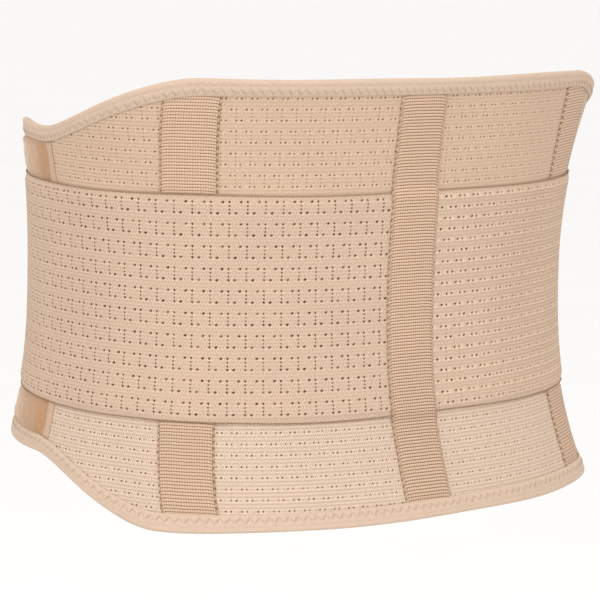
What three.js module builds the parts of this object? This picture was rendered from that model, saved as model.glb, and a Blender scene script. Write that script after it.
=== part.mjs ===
// Elastic support belt for the abdomen and lower back, closed as it is worn.
//
// Millimetres, +Z up. The wearer faces -Y, so the centre back lies on +Y and the wearer's right on -X.
// The origin is on the body's axis, at the height where the waist is narrowest.
//
// The belt is sewn from flat cloth, so every piece is described flat and then laid round the body:
//   s  distance along the waist from the centre back, positive towards the wearer's right
//   z  height
//   w  distance outwards from the body, which keeps the layers of cloth apart

import * as THREE from 'three';

const { lerp, smoothstep } = THREE.MathUtils;

// The body's section at the waist, a superellipse a little fuller than an ellipse
const WAIST_HALF_WIDTH = 135;
const WAIST_BACK_DEPTH = 99;
const WAIST_FRONT_DEPTH = 104;
const SECTION_POWER = 2.2;

// How far the body stands out from the waist section at the belt's highest and lowest edge,
// by the angle round the body from the centre back
const FLARES = [
  { degrees: 0, above: 10, below: 23 },
  { degrees: 45, above: 14, below: 22 },
  { degrees: 65, above: 19, below: 15 },
  { degrees: 120, above: 9, below: 21 },
  { degrees: 180, above: 4, below: 18 },
];
const FLARE_POWER_ABOVE = 2;
const FLARE_POWER_BELOW = 2.6;

// Heights of the belt's edges: full at the back, lower at the sides, lowest in front
const TOP_AT_BACK = 100;
const TOP_AT_SIDE = 73;
const TOP_AT_FRONT = 62;
const HEM_AT_BACK = -106.5;
const HEM_AT_SIDE = -82.5;
const TOP_SLOPE = { from: 100, to: 190 };
const TOP_DIP = { from: 225, to: 290 };
const HEM_SLOPE = { from: 116, to: 189 };

// The hem hangs this much lower at the wearer's left side and as much higher at the right
const HEM_TILT = 2;

// Cloth thicknesses, and the gap kept between pieces that touch
const GAP = 0.3;
const PANEL_THICKNESS = 2;
const STRAP_THICKNESS = 1.5;
const TAB_THICKNESS = 1.6;
const TAPE_THICKNESS = 1;
const SEAM_TAPE_THICKNESS = 0.8;
const CHANNEL_EDGE_THICKNESS = 1;
const CHANNEL_CROWN = 0.4;

// Places along the waist
const SEAM = 183;
const SEAM_TAPE_WIDTH = 5;
const CHANNEL_WIDTH = 25;
const SIDE_CHANNEL = 106.5;
const STRAP_END = 285;
const TAB_FROM = 275;
const TAB_END = 325;
const TAB_CORNER = 15;
const FRONT_LAP = 35;
const CLOSURE_HALF_WIDTH = 25;

// Heights of the straps and of what they carry
const STRAP_TOP = 46;
const STRAP_HEM = -59.5;
const TAB_INSET = 1;

// The binding tape folded over an edge: depth of its two legs, and of the bend that joins them
const BINDING_LEG = 8;
const BINDING_BEND = 2;

// Length over which a layer of cloth climbs on to another one
const RAMP = 6;
const LAP_RAMP = 18;

// Cells along each piece's height and width
const STATION_STEP = 12.5;
const PANEL_ROWS = 11;
const STRAP_ROWS = 6;

// Distances outwards at which the layers lie
const ON_PANEL = PANEL_THICKNESS + GAP;
const CHANNEL_LIFT = CHANNEL_EDGE_THICKNESS + CHANNEL_CROWN + GAP;
const SEAM_LIFT = SEAM_TAPE_THICKNESS + GAP;
const STRAP_LIFT = STRAP_THICKNESS + GAP;
const EDGE_INSET = BINDING_BEND + GAP;
const LAP_LIFT = PANEL_THICKNESS + 2 * (TAPE_THICKNESS + GAP) + 2 * GAP;

const BEIGE_ELASTIC = { color: 0xdcbc9a, roughness: 0.9 };
const BEIGE_STRAP = { color: 0xd9b896, roughness: 0.9 };
const BEIGE_WEBBING = { color: 0xdfc2a2, roughness: 0.8 };
const BEIGE_TAPE = { color: 0xe0c3a3, roughness: 0.75 };
const TAN_PLUSH = { color: 0xc9a585, roughness: 1 };
const TAN_HOOK = { color: 0xbf9a78, roughness: 0.95 };

// The waist section

function halfDepth(angle) {
  return Math.cos(angle) >= 0 ? WAIST_BACK_DEPTH : WAIST_FRONT_DEPTH;
}

function signedPower(value, power) {
  return Math.sign(value) * Math.abs(value) ** power;
}

function sectionPoint(angle) {
  const power = 2 / SECTION_POWER;
  const x = -WAIST_HALF_WIDTH * signedPower(Math.sin(angle), power);
  const y = halfDepth(angle) * signedPower(Math.cos(angle), power);
  return new THREE.Vector2(x, y);
}

function sectionNormal(angle) {
  const power = 2 - 2 / SECTION_POWER;
  const x = -signedPower(Math.sin(angle), power) / WAIST_HALF_WIDTH;
  const y = signedPower(Math.cos(angle), power) / halfDepth(angle);
  return new THREE.Vector2(x, y).normalize();
}

// Distance from the centre back to the centre front, and the angle at a distance between them
const ARC_STEPS = 2000;
const arcLengths = [0];
for (let step = 1; step <= ARC_STEPS; step += 1) {
  const before = sectionPoint((Math.PI * (step - 1)) / ARC_STEPS);
  const after = sectionPoint((Math.PI * step) / ARC_STEPS);
  arcLengths.push(arcLengths[step - 1] + before.distanceTo(after));
}
const HALF_GIRTH = arcLengths[ARC_STEPS];

function angleAt(distance) {
  let low = 0;
  let high = ARC_STEPS;
  while (high - low > 1) {
    const middle = Math.floor((low + high) / 2);
    if (arcLengths[middle] > distance) {
      high = middle;
    } else {
      low = middle;
    }
  }
  const part = (distance - arcLengths[low]) / (arcLengths[high] - arcLengths[low]);
  return (Math.PI * (low + part)) / ARC_STEPS;
}

// The body above and below the waist

function flare(angle, z) {
  const degrees = Math.abs(THREE.MathUtils.radToDeg(angle));
  const last = FLARES.length - 2;
  const index = Math.min(last, FLARES.findLastIndex((row) => row.degrees <= degrees));
  const [near, far] = [FLARES[index], FLARES[index + 1]];
  const part = smoothstep(degrees, near.degrees, far.degrees);
  if (z >= 0) {
    return lerp(near.above, far.above, part) * (z / TOP_AT_BACK) ** FLARE_POWER_ABOVE;
  }
  return lerp(near.below, far.below, part) * (z / HEM_AT_BACK) ** FLARE_POWER_BELOW;
}

function onBody(s, z, w) {
  const past = Math.abs(s) > HALF_GIRTH;
  const around = past ? s - Math.sign(s) * 2 * HALF_GIRTH : s;
  const angle = Math.sign(around) * angleAt(Math.abs(around));
  const point = sectionPoint(angle).addScaledVector(sectionNormal(angle), flare(angle, z) + w);
  return new THREE.Vector3(point.x, point.y, z);
}

// The belt's outline

function topHeight(s) {
  const away = Math.abs(s);
  const side = lerp(TOP_AT_BACK, TOP_AT_SIDE, smoothstep(away, TOP_SLOPE.from, TOP_SLOPE.to));
  return side + (TOP_AT_FRONT - TOP_AT_SIDE) * smoothstep(away, TOP_DIP.from, TOP_DIP.to);
}

function hemHeight(s) {
  const level = lerp(HEM_AT_BACK, HEM_AT_SIDE, smoothstep(Math.abs(s), HEM_SLOPE.from, HEM_SLOPE.to));
  return level + HEM_TILT * Math.sin((Math.PI * s) / HALF_GIRTH);
}

// 1 between two places, falling to 0 over a ramp on either side of them
function plateau(value, from, to) {
  return smoothstep(value, from - RAMP, from) * (1 - smoothstep(value, to, to + RAMP));
}

const HALF_CHANNEL = CHANNEL_WIDTH / 2;
const PANEL_END = HALF_GIRTH + FRONT_LAP;

function overSideChannel(s) {
  return plateau(Math.abs(s), SIDE_CHANNEL - HALF_CHANNEL, SIDE_CHANNEL + HALF_CHANNEL);
}

function overCenterChannel(s) {
  return plateau(Math.abs(s), -HALF_CHANNEL, HALF_CHANNEL);
}

function overSeam(s) {
  return plateau(Math.abs(s), SEAM - SEAM_TAPE_WIDTH / 2, SEAM + SEAM_TAPE_WIDTH / 2);
}

// The right front laps over the left one, so its end stands off by the thickness of what lies under it
function lapLift(s) {
  const leftEnd = 2 * HALF_GIRTH - PANEL_END;
  return LAP_LIFT * smoothstep(s, leftEnd - LAP_RAMP - GAP, leftEnd - GAP);
}

// Stations: the shared places along the waist where every layer bends, so that layers stay parallel

function bothSides(values) {
  return values.flatMap((value) => [-value, value]);
}

function channelStations(middle) {
  return [-1, -0.5, 0, 0.5, 1].map((part) => middle + part * HALF_CHANNEL);
}

function rampStations(from, to) {
  return [from - RAMP, from, to, to + RAMP];
}

const bends = bothSides([
  ...channelStations(SIDE_CHANNEL),
  ...rampStations(SIDE_CHANNEL - HALF_CHANNEL, SIDE_CHANNEL + HALF_CHANNEL),
  ...channelStations(0),
  ...rampStations(-HALF_CHANNEL, HALF_CHANNEL),
  ...rampStations(SEAM - SEAM_TAPE_WIDTH / 2, SEAM + SEAM_TAPE_WIDTH / 2),
  SEAM,
  STRAP_END,
  STRAP_END + RAMP,
]);
const gridLines = Math.ceil(PANEL_END / STATION_STEP);
const grid = Array.from({ length: 2 * gridLines + 1 }, (_, index) => (index - gridLines) * STATION_STEP);
const clear = STATION_STEP / 3;
const stations = grid.filter((line) => bends.every((bend) => Math.abs(bend - line) > clear));
stations.push(...new Set(bends));
stations.sort((a, b) => a - b);

function stationsBetween(from, to) {
  const inside = stations.filter((station) => station > from + 1 && station < to - 1);
  return [from, ...inside, to];
}

// Heights of the panels' rows at one station: the edges under the bindings, and even rows between them
function panelHeights(s) {
  const low = hemHeight(s) + BINDING_LEG;
  const high = topHeight(s) - BINDING_LEG;
  const rows = Array.from({ length: PANEL_ROWS + 1 }, (_, row) => lerp(low, high, row / PANEL_ROWS));
  return [hemHeight(s) + EDGE_INSET, ...rows, topHeight(s) - EDGE_INSET];
}

// The same rows for a piece that ends just short of the bindings
function heightsBetweenBindings(s) {
  const rows = panelHeights(s).slice(1, -1);
  rows[0] += GAP;
  rows[PANEL_ROWS] -= GAP;
  return rows;
}

// Cloth

// A closed slab of cloth, columns by rows of cells and one cell thick. place(column, row, face) gives
// each corner, where face is 0 on the body's side and 1 on the outside.
function clothSlab(columns, rows, place) {
  const geometry = new THREE.BoxGeometry(columns, rows, 1, columns, rows, 1);
  const corners = geometry.attributes.position;
  for (let index = 0; index < corners.count; index += 1) {
    const column = Math.round(corners.getX(index) + columns / 2);
    const row = Math.round(corners.getY(index) + rows / 2);
    const face = corners.getZ(index) > 0 ? 1 : 0;
    const { x, y, z } = place(column, row, face);
    corners.setXYZ(index, x, y, z);
  }
  geometry.computeVertexNormals();
  return geometry;
}

function panel(from, to, lift) {
  const across = stationsBetween(from, to);
  return clothSlab(across.length - 1, PANEL_ROWS + 2, (column, row, face) => {
    const s = across[column];
    return onBody(s, panelHeights(s)[row], lift(s) + face * PANEL_THICKNESS);
  });
}

// An upright stay channel, slightly crowned across its width, with its ends under the bindings
function channel(middle, base, climbs) {
  const across = channelStations(middle);
  const rows = panelHeights(middle).length + climbs.length;
  return clothSlab(across.length - 1, rows - 1, (column, row, face) => {
    const s = across[column];
    const z = [...panelHeights(s), ...climbs].sort((a, b) => a - b)[row];
    const crown = 1 - ((s - middle) / HALF_CHANNEL) ** 2;
    return onBody(s, z, base(z) + face * (CHANNEL_EDGE_THICKNESS + CHANNEL_CROWN * crown));
  });
}

// The side channels lie flat on the panel
function onPanel() {
  return ON_PANEL;
}

// The centre channel climbs over the straps, between these heights
const overStrapHem = STRAP_HEM - GAP;
const overStrapTop = STRAP_TOP + GAP;
const climbs = [overStrapHem - RAMP, overStrapHem, overStrapTop, overStrapTop + RAMP];

function overStraps(z) {
  return ON_PANEL + STRAP_LIFT * plateau(z, overStrapHem, overStrapTop);
}

function seamTape(side) {
  const edges = [SEAM - SEAM_TAPE_WIDTH / 2, SEAM, SEAM + SEAM_TAPE_WIDTH / 2];
  const across = edges.map((edge) => side * edge).sort((a, b) => a - b);
  return clothSlab(across.length - 1, PANEL_ROWS, (column, row, face) => {
    const s = across[column];
    return onBody(s, heightsBetweenBindings(s)[row], ON_PANEL + face * SEAM_TAPE_THICKNESS);
  });
}

function strapBase(s) {
  return ON_PANEL + CHANNEL_LIFT * overSideChannel(s) + SEAM_LIFT * overSeam(s);
}

function strap(side) {
  const ends = [side * GAP, side * STRAP_END].sort((a, b) => a - b);
  const across = stationsBetween(...ends);
  return clothSlab(across.length - 1, STRAP_ROWS, (column, row, face) => {
    const s = across[column];
    const z = lerp(STRAP_HEM, STRAP_TOP, row / STRAP_ROWS);
    return onBody(s, z, strapBase(s) + face * STRAP_THICKNESS);
  });
}

// A tab lies on the strap's end and steps down to the panel past it, with round outer corners
function strapTab(side) {
  const corners = [0.3, 0.6, 0.85].map((part) => TAB_END - TAB_CORNER * (1 - part));
  const ends = [side * TAB_FROM, side * TAB_END].sort((a, b) => a - b);
  const inner = stationsBetween(...ends).filter((s) => Math.abs(s) < corners[0] || Math.abs(s) === TAB_END);
  const across = [...inner, ...corners.map((corner) => side * corner)].sort((a, b) => a - b);
  return clothSlab(across.length - 1, STRAP_ROWS, (column, row, face) => {
    const s = across[column];
    const intoCorner = Math.max(0, Math.abs(s) - (TAB_END - TAB_CORNER));
    const round = TAB_CORNER - Math.sqrt(TAB_CORNER ** 2 - intoCorner ** 2);
    const inset = TAB_INSET + round;
    const z = lerp(STRAP_HEM + inset, STRAP_TOP - inset, row / STRAP_ROWS);
    const step = STRAP_LIFT * plateau(Math.abs(s), 0, STRAP_END);
    return onBody(s, z, ON_PANEL + step + face * TAB_THICKNESS);
  });
}

// The tape's section where it is folded over an edge, from the end of the outer leg over the bend
// to the end of the inner leg. Depth is measured in from the edge.
const BINDING_FOLD = [
  { depth: BINDING_LEG, outer: true },
  { depth: BINDING_BEND, outer: true },
  { depth: BINDING_BEND, outer: false },
  { depth: BINDING_LEG, outer: false },
];

// Corner of the folded tape: face 1 is the tape's outside, face 0 the side next to the panel
function foldCorner(fold, face, outerLift) {
  const bend = fold.depth === BINDING_BEND;
  const depth = bend ? (1 - face) * TAPE_THICKNESS : fold.depth;
  const out = GAP + face * TAPE_THICKNESS;
  const w = fold.outer ? PANEL_THICKNESS + outerLift + out : -out;
  return { depth, w };
}

// A binding along the belt's upper edge (sign 1) or lower edge (sign -1)
function edgeBinding(edgeHeight, sign) {
  const along = stationsBetween(-PANEL_END, PANEL_END);
  const folds = sign > 0 ? BINDING_FOLD : [...BINDING_FOLD].reverse();
  return clothSlab(along.length - 1, folds.length - 1, (column, row, face) => {
    const s = along[column];
    const outerLift = CHANNEL_LIFT * Math.max(overSideChannel(s), overCenterChannel(s));
    const { depth, w } = foldCorner(folds[row], face, outerLift);
    return onBody(s, edgeHeight(s) - sign * depth, lapLift(s) + w);
  });
}

// A binding on the upright end of the right front (sign 1) or left front (sign -1)
function endBinding(sign) {
  const folds = sign > 0 ? BINDING_FOLD : [...BINDING_FOLD].reverse();
  return clothSlab(folds.length - 1, PANEL_ROWS, (column, row, face) => {
    const { depth, w } = foldCorner(folds[column], face, 0);
    const s = sign * (PANEL_END - depth);
    return onBody(s, heightsBetweenBindings(s)[row], lapLift(s) + w);
  });
}

// The fastening pad that fills the space between the lapped fronts
function frontClosure() {
  const across = stationsBetween(HALF_GIRTH - CLOSURE_HALF_WIDTH, HALF_GIRTH + CLOSURE_HALF_WIDTH);
  const thickness = LAP_LIFT - PANEL_THICKNESS - 2 * GAP;
  return clothSlab(across.length - 1, PANEL_ROWS - 2, (column, row, face) => {
    const s = across[column];
    return onBody(s, heightsBetweenBindings(s)[row + 1], ON_PANEL + face * thickness);
  });
}

// Assembly

const belt = new THREE.Group();

function addPiece(name, geometry, finish) {
  const piece = new THREE.Mesh(geometry, new THREE.MeshStandardMaterial({ ...finish, metalness: 0 }));
  piece.name = name;
  belt.add(piece);
}

const flat = () => 0;
addPiece('back_panel', panel(-SEAM + GAP / 2, SEAM - GAP / 2, flat), BEIGE_ELASTIC);
addPiece('front_panel_left', panel(-PANEL_END + EDGE_INSET, -SEAM - GAP / 2, flat), TAN_PLUSH);
addPiece('front_panel_right', panel(SEAM + GAP / 2, PANEL_END - EDGE_INSET, lapLift), TAN_PLUSH);
addPiece('front_closure', frontClosure(), TAN_HOOK);

addPiece('channel_center', channel(0, overStraps, climbs), BEIGE_WEBBING);
const sides = [
  { name: 'left', sign: -1 },
  { name: 'right', sign: 1 },
];
for (const { name, sign } of sides) {
  addPiece(`seam_tape_${name}`, seamTape(sign), BEIGE_TAPE);
  addPiece(`channel_${name}`, channel(sign * SIDE_CHANNEL, onPanel, []), BEIGE_WEBBING);
  addPiece(`strap_${name}`, strap(sign), BEIGE_STRAP);
  addPiece(`strap_tab_${name}`, strapTab(sign), TAN_HOOK);
  addPiece(`binding_end_${name}`, endBinding(sign), BEIGE_TAPE);
}
addPiece('binding_top', edgeBinding(topHeight, 1), BEIGE_TAPE);
addPiece('binding_bottom', edgeBinding(hemHeight, -1), BEIGE_TAPE);

export default belt;
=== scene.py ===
"""An elastic support belt for the abdomen and lower back, closed as it is worn, seen from behind.

Sizes are in millimetres and become metres where points are made. The belt is sewn from flat cloth, so
every piece is described flat and then laid round one form, the waist section with its flare:
  s  distance along the waist from the centre back, positive towards the belt's right
  z  height
  w  distance outwards from the form, which keeps the layers of cloth apart
"""

import math

import bpy
import numpy as np
from mathutils import Matrix, Vector


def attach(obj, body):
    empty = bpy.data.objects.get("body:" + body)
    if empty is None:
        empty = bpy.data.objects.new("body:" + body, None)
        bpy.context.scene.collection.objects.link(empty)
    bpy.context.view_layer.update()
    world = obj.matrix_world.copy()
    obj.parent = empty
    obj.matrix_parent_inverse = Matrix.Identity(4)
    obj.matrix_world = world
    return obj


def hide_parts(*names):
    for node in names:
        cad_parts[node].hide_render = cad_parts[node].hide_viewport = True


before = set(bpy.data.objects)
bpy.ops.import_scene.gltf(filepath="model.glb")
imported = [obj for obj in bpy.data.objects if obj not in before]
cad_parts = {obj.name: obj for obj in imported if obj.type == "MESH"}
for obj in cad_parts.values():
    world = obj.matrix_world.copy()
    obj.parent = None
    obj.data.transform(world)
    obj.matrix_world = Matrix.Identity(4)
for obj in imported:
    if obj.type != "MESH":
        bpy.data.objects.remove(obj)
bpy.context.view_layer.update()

MM = 0.001

# The form's section at the waist, a superellipse a little fuller than an ellipse
WAIST_HALF_WIDTH = 135.0
WAIST_BACK_DEPTH = 99.0
WAIST_FRONT_DEPTH = 104.0
SECTION_POWER = 2.2

# How far the form stands out from the waist section at the belt's highest and lowest edge,
# by the angle in degrees from the centre back
FLARE_DEGREES = (0, 45, 65, 120, 180)
FLARE_ABOVE = (10, 14, 19, 9, 4)
FLARE_BELOW = (23, 22, 15, 21, 18)
FLARE_POWER_ABOVE = 2.0
FLARE_POWER_BELOW = 2.6

# The slight waves of the cloth: height, the lengths in which they turn by one radian, and start. They die
# out between two distances from the centre back.
RIPPLES = (
    {"height": 0.30, "along": 21, "up": 47, "start": 0.0},
    {"height": 0.22, "along": 34, "up": -23, "start": 1.3},
)
RIPPLE_FADE = (250, 310)

# Heights of the belt's edges: full at the back, lower at the sides, lowest in front
TOP_AT_BACK = 100.0
TOP_AT_SIDE = 73.0
TOP_AT_FRONT = 62.0
HEM_AT_BACK = -106.5
HEM_AT_SIDE = -82.5
TOP_SLOPE = (100.0, 190.0)
TOP_DIP = (225.0, 290.0)
HEM_SLOPE = (116.0, 189.0)

# The hem hangs this much lower at the belt's left side and as much higher at the right
HEM_TILT = 2.0

# Gaps where cloth is sewn down, between layers, and between pieces that end side by side
SEWN_GAP = 0.03
LAYER_GAP = 0.1
GAP = 0.3

# Cloth thicknesses
PANEL_THICKNESS = 2.0
STRAP_THICKNESS = 1.5
TAB_THICKNESS = 1.6
TAPE_THICKNESS = 0.7
SEAM_TAPE_THICKNESS = 0.5
CHANNEL_EDGE_THICKNESS = 0.9
CHANNEL_CROWN = 0.4

# Places along the waist
SEAM = 183.0
SEAM_TAPE_WIDTH = 5.0
HALF_CENTER_CHANNEL = 12.5
HALF_SIDE_CHANNEL = 13.5
SIDE_CHANNEL = 107.5
STRAP_END = 285.0
TAB_FROM = 275.0
TAB_END = 325.0
TAB_CORNER = 15.0
FRONT_LAP = 35.0
CLOSURE_HALF_WIDTH = 25.0

# Heights of the straps and of what they carry
STRAP_TOP = 46.0
STRAP_HEM = -59.5
TAB_INSET = 1.0

# The binding tape folded over an edge: depth of its two legs, and of the cloth's own edge inside it
BINDING_LEG = 8.0
EDGE_INSET = 2.3

# Length over which a layer of cloth climbs on to another one
RAMP = 9.0
LAP_RAMP = 18.0

# Distances outwards at which the layers lie
SEWN_ON = PANEL_THICKNESS + SEWN_GAP
ON_PANEL = PANEL_THICKNESS + LAYER_GAP
CHANNEL_LIFT = 0.7
CHANNEL_END_LIFT = 0.35
SEAM_LIFT = SEAM_TAPE_THICKNESS + LAYER_GAP
STRAP_LIFT = STRAP_THICKNESS + LAYER_GAP
PLUSH_LIFT = 1.1
LAP_LIFT = PANEL_THICKNESS + 2 * (TAPE_THICKNESS + GAP) + 2 * GAP

# The elastic's knit repeats one motif: a pair of needle holes, a chain of fine dots down to a second
# pair three cords lower, and plain cords between. Pulling the cloth along the waist spreads the columns.
# A pair is given as a part of the column, holes and dots by their half width and half height.
CORDS_PER_MOTIF = 6
MOTIF_RISE = 3
HOLE_SLANT = 0.22
STRAP_KNIT = {
    "column": 8.05, "pair": 0.36, "row": 10.45, "row_at": 40.7,
    "hole": (0.76, 0.74), "cord": 0.12, "pit": 0.9, "dot": (0.48, 0.62),
}
PANEL_KNIT = {
    "column": 6.45, "pair": 0.335, "row": 10.45, "row_at": 84.3,
    "hole": (0.50, 0.54), "cord": 0.18, "pit": 0.7, "dot": (0.36, 0.36),
}
STITCHES_PER_COLUMN = 6
STITCH_SLANT = 0.75

# Grosgrain webbing of the stay channels
RIB_PITCH = 1.46
RIB_HEIGHT = 0.36
RIB_BOW = 0.8
SELVEDGE = 1.0
WARP_PITCH = 1.2

# Rows of loops in the binding tape, and of hooks in the hook tape
TAPE_WALE = 0.7
HOOK_PITCH = (1.1, 1.3)

# Sewing: threads by their radius, and how far a stitch's ends and middle lie off its line
ZIGZAG_THREAD = 0.13
CHANNEL_THREAD = 0.2
SEAM_THREAD = 0.12
EDGE_YARN = 0.21
STITCH_LENGTH = 2.1
STITCH_PITCH = 2.9
STITCH_DIP = np.array([-0.2, 0.05, 0.05, -0.2])
ZIGZAG_PITCH = 3.9
ZIGZAG_NEAR = 4.4
ZIGZAG_FAR = 6.9
ZIGZAG_DIP = np.array([-0.22, 0.12, 0.12, -0.22])
ZIGZAG_SLOPE = 2 * (ZIGZAG_FAR - ZIGZAG_NEAR) / ZIGZAG_PITCH


# The waist section


def smoothstep(value, start, end):
    part = np.clip((value - start) / (end - start), 0.0, 1.0)
    return part * part * (3 - 2 * part)


def signed_power(value, power):
    return np.sign(value) * np.abs(value) ** power


def section_depth(angle):
    return np.where(np.cos(angle) >= 0, WAIST_BACK_DEPTH, WAIST_FRONT_DEPTH)


def section_point(angle):
    power = 2 / SECTION_POWER
    x = -WAIST_HALF_WIDTH * signed_power(np.sin(angle), power)
    return x, section_depth(angle) * signed_power(np.cos(angle), power)


def section_normal(angle):
    power = 2 - 2 / SECTION_POWER
    x = -signed_power(np.sin(angle), power) / WAIST_HALF_WIDTH
    y = signed_power(np.cos(angle), power) / section_depth(angle)
    length = np.hypot(x, y)
    return x / length, y / length


ARC_ANGLES = np.linspace(0, math.pi, 4001)
ARC_LENGTHS = np.concatenate([[0.0], np.cumsum(np.hypot(*np.diff(section_point(ARC_ANGLES))))])
HALF_GIRTH = float(ARC_LENGTHS[-1])
PANEL_END = HALF_GIRTH + FRONT_LAP


# The form above and below the waist


def flare(angle, z):
    degrees = np.degrees(np.abs(angle))
    above = np.zeros_like(degrees) + FLARE_ABOVE[0]
    below = np.zeros_like(degrees) + FLARE_BELOW[0]
    for index in range(len(FLARE_DEGREES) - 1):
        part = smoothstep(degrees, FLARE_DEGREES[index], FLARE_DEGREES[index + 1])
        above = above + part * (FLARE_ABOVE[index + 1] - FLARE_ABOVE[index])
        below = below + part * (FLARE_BELOW[index + 1] - FLARE_BELOW[index])
    rise = np.clip(z / TOP_AT_BACK, 0, None)
    fall = np.clip(z / HEM_AT_BACK, 0, None)
    return above * rise**FLARE_POWER_ABOVE + below * fall**FLARE_POWER_BELOW


def ripple(around, z):
    """The slight waviness of stretched cloth, which every layer shares."""
    waves = [r["height"] * np.sin(around / r["along"] + z / r["up"] + r["start"]) for r in RIPPLES]
    return sum(waves) * (1 - smoothstep(np.abs(around), *RIPPLE_FADE))


def lay(s, z, w):
    """Points in metres of cloth at (s, z) that stands w off the form."""
    s, z, w = np.broadcast_arrays(np.asarray(s, float), np.asarray(z, float), np.asarray(w, float))
    around = np.where(np.abs(s) > HALF_GIRTH, s - np.sign(s) * 2 * HALF_GIRTH, s)
    angle = np.sign(around) * np.interp(np.abs(around), ARC_LENGTHS, ARC_ANGLES)
    x, y = section_point(angle)
    out_x, out_y = section_normal(angle)
    out = flare(angle, z) + ripple(around, z) + w
    return np.stack([x + out_x * out, y + out_y * out, z], axis=-1) * MM


# Height measured along the cloth, which is longer than the upright height where the form flares. It is
# taken between the centre and side channels.
CLOTH_ANGLE = np.radians(40.0)
CLOTH_Z = np.linspace(-115, 110, 901)
CLOTH_SLOPE = np.gradient(flare(CLOTH_ANGLE, CLOTH_Z), CLOTH_Z)
CLOTH_RUN = np.cumsum(np.hypot(1, CLOTH_SLOPE)) * (CLOTH_Z[1] - CLOTH_Z[0])
CLOTH_RUN -= np.interp(0, CLOTH_Z, CLOTH_RUN)


def along_cloth(z):
    return np.interp(z, CLOTH_Z, CLOTH_RUN)


def upright(height):
    return np.interp(height, CLOTH_RUN, CLOTH_Z)


# The belt's outline


def top_height(s):
    away = np.abs(s)
    side = TOP_AT_BACK + (TOP_AT_SIDE - TOP_AT_BACK) * smoothstep(away, *TOP_SLOPE)
    return side + (TOP_AT_FRONT - TOP_AT_SIDE) * smoothstep(away, *TOP_DIP)


def hem_height(s):
    level = HEM_AT_BACK + (HEM_AT_SIDE - HEM_AT_BACK) * smoothstep(np.abs(s), *HEM_SLOPE)
    return level + HEM_TILT * np.sin(math.pi * s / HALF_GIRTH)


def edges(s, inset):
    """Heights this far inside the belt's lower and upper edge."""
    return hem_height(s) + inset, top_height(s) - inset


def between(low, high, parts):
    """Heights at the given parts of the way from a lower to an upper edge."""
    return low[:, None] + (high - low)[:, None] * np.asarray(parts)[None, :]


def plateau(value, start, end, ramp=RAMP):
    """1 between two places, falling to 0 over a ramp on either side of them."""
    return smoothstep(value, start - ramp, start) * (1 - smoothstep(value, end, end + ramp))


def lap_lift(s):
    """The right front laps over the left one, so its end stands off by what lies under it."""
    left_end = 2 * HALF_GIRTH - PANEL_END
    return LAP_LIFT * smoothstep(s, left_end - LAP_RAMP - GAP, left_end - GAP)


def on_plush(s):
    """1 on the plush fronts, whose pile holds up what lies on them."""
    seam_side = SEAM + SEAM_TAPE_WIDTH / 2
    return smoothstep(np.abs(s), seam_side, seam_side + RAMP)


def strap_base(s):
    """Distance off the form of a strap's inner face, which climbs over the side channel and the seam."""
    away = np.abs(s)
    channel = plateau(away, SIDE_CHANNEL - HALF_SIDE_CHANNEL, SIDE_CHANNEL + HALF_SIDE_CHANNEL)
    seam = plateau(away, SEAM - SEAM_TAPE_WIDTH / 2, SEAM + SEAM_TAPE_WIDTH / 2)
    return ON_PANEL + CHANNEL_LIFT * channel + SEAM_LIFT * seam + PLUSH_LIFT * on_plush(s)


# Materials


def linear(hex_colour):
    """sRGB hex to linear RGBA."""
    parts = [int(hex_colour[index : index + 2], 16) / 255 for index in (1, 3, 5)]
    return (*[p / 12.92 if p <= 0.04045 else ((p + 0.055) / 1.055) ** 2.4 for p in parts], 1.0)


# A colour mix's sockets by position, because its number and vector sockets have the same names
FACTOR, FIRST, SECOND = 0, 6, 7
COLOUR_MIX = {"output": 2, "data_type": "RGBA"}


def new_material(name):
    """An empty material, and the function that adds a node to it."""
    material = bpy.data.materials.new(name)
    material.use_nodes = True
    tree = material.node_tree
    tree.nodes.clear()

    def add(kind, inputs, output=0, **settings):
        """Adds a node, sets it up, links or sets its inputs by name or in order, and gives back an output."""
        node = tree.nodes.new("ShaderNode" + kind)
        for setting, value in settings.items():
            setattr(node, setting, value)
        for socket, value in inputs.items() if isinstance(inputs, dict) else enumerate(inputs):
            if isinstance(value, bpy.types.NodeSocket):
                tree.links.new(value, node.inputs[socket])
            else:
                node.inputs[socket].default_value = linear(value) if isinstance(value, str) else value
        return node.outputs[output] if node.outputs else None

    return material, add


def finish_surface(add, colour, grain, bump, roughness, sheen, sheen_roughness=0.5, gloss=0.25):
    """A fibre's matt surface. bump holds the strength of its grain and the grain's depth in millimetres."""
    normal = add("Bump", {"Strength": bump[0], "Distance": bump[1] * MM, "Height": grain})
    surface = add("BsdfPrincipled", {
        "Base Color": colour, "Roughness": roughness, "Normal": normal, "IOR": 1.46,
        "Specular IOR Level": gloss, "Sheen Weight": sheen, "Sheen Roughness": sheen_roughness,
        "Sheen Tint": "#fff1e4",
    })
    add("OutputMaterial", {"Surface": surface})


def flat_place(add):
    """The cloth's own flat coordinates in millimetres, as s, height and their vector."""
    place = add("Attribute", [], "Vector", attribute_name="flat")
    return add("SeparateXYZ", [place], "X"), add("SeparateXYZ", [place], "Y"), place


def weighed(add, base, *parts):
    """The sum of a base and several parts, each by its own weight."""
    for part, weight in parts:
        base = add("Math", [part, weight, base], operation="MULTIPLY_ADD")
    return base


def centred(add, value, start, period):
    """Distance to the middle of the nearest repeat of a pattern."""
    steps = add("Math", [value, 1 / period, 0.5 - start / period], operation="MULTIPLY_ADD")
    part = add("Math", [steps], operation="FRACT")
    return add("Math", [part, period, -period / 2], operation="MULTIPLY_ADD")


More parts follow.
